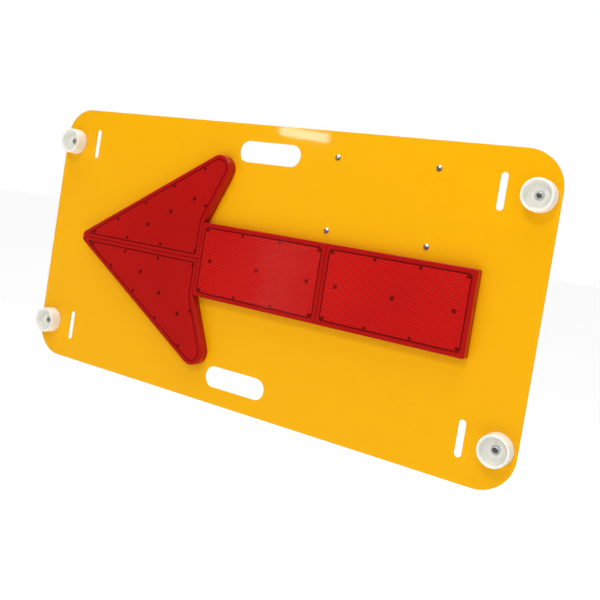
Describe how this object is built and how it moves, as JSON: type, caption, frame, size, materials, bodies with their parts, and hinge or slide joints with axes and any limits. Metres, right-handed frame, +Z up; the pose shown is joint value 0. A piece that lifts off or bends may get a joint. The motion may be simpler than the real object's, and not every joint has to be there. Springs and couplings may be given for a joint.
{
  "type": "led arrow board",
  "caption": "Portable sign board with a left-pointing LED arrow, corner bumpers, hand and strap slots, and a battery box on the back.",
  "frame": {"origin": "centre of the board's back face", "axes": "+Z up, the arrow faces -Y and points towards -X, +Y out of the back of the board"},
  "size_m": [1.2, 0.1125, 0.6],
  "materials": {
    "yellow_coat": "yellow powder coat, glossy, slight orange peel",
    "white_plastic": "moulded white plastic",
    "zinc_steel": "bright zinc plated",
    "red_lens": "red fluted lens plastic, glossy",
    "circuit_green": "solder mask",
    "lamp_clear": "clear lamp body",
    "foam_black": "closed cell foam",
    "connector_white": "moulded",
    "black_rubber": "matt",
    "box_grey": "fine texture",
    "battery_black": "moulded",
    "brass": "plain",
    "black_plastic": "moulded",
    "fuse_blue": "clear tinted",
    "rocker_red": "glossy",
    "button_green": "glossy",
    "gland_black": "nylon"
  },
  "bodies": {
    "board": {"sign_panel": "yellow_coat", "bumper_upper_left": "white_plastic", "bumper_upper_right": "white_plastic", "bumper_lower_left": "white_plastic", "bumper_lower_right": "white_plastic", "bumper_screws": "zinc_steel", "bumper_washers": "zinc_steel", "bumper_lock_nuts": "zinc_steel", "box_mount_screws": "zinc_steel", "box_mount_washers": "zinc_steel", "box_mount_nuts": "zinc_steel", "module_screws": "zinc_steel", "led_board_screws": "zinc_steel", "control_board_screws": "zinc_steel", "lid_screws": "zinc_steel", "bracket_screws": "zinc_steel", "lens_head_upper": "red_lens", "base_tray_head_upper": "white_plastic", "led_board_head_upper": "circuit_green", "leds_head_upper": "lamp_clear", "gasket_head_upper": "foam_black", "lens_head_lower": "red_lens", "base_tray_head_lower": "white_plastic", "led_board_head_lower": "circuit_green", "leds_head_lower": "lamp_clear", "gasket_head_lower": "foam_black", "lens_shaft_inner": "red_lens", "base_tray_shaft_inner": "white_plastic", "led_board_shaft_inner": "circuit_green", "leds_shaft_inner": "lamp_clear", "gasket_shaft_inner": "foam_black", "lens_shaft_outer": "red_lens", "base_tray_shaft_outer": "white_plastic", "led_board_shaft_outer": "circuit_green", "leds_shaft_outer": "lamp_clear", "gasket_shaft_outer": "foam_black", "led_connectors": "connector_white", "panel_grommet": "black_rubber", "lid_seal": "black_rubber", "gland_seal": "black_rubber", "control_box_body": "box_grey", "control_box_lid": "box_grey", "battery": "battery_black", "battery_terminals": "brass", "battery_bracket": "zinc_steel", "control_board": "circuit_green", "control_components": "black_plastic", "fuse_holder": "black_plastic", "fuse": "fuse_blue", "power_switch_housing": "black_plastic", "mode_button_housing": "black_plastic", "mode_button_nut": "black_plastic", "charge_socket": "black_plastic", "charge_socket_nut": "zinc_steel", "gland_body": "gland_black", "gland_dome_nut": "gland_black", "gland_locknut": "gland_black"},
    "power_rocker": {"power_rocker": "rocker_red"},
    "mode_button": {"mode_button": "button_green"},
    "charge_cap": {"charge_cap": "black_rubber"}
  },
  "joints": [
    {"name": "power_rocker_tilt", "type": "hinge", "parent": "board", "child": "power_rocker", "pos_m": [0.3855, 0.04, 0.1981], "axis": [0, 1, 0], "range_deg": [0, 18]},
    {"name": "mode_button_press", "type": "slide", "parent": "board", "child": "mode_button", "axis": [-1, 0, 0], "range_m": [0, 0.0018], "stiffness_N_per_m": 700, "springref_m": -0.001},
    {"name": "charge_cap_swing", "type": "hinge", "parent": "board", "child": "charge_cap", "pos_m": [0.3911, 0.04, 0.1623], "axis": [0, -1, 0], "range_deg": [0, 110]}
  ]
}
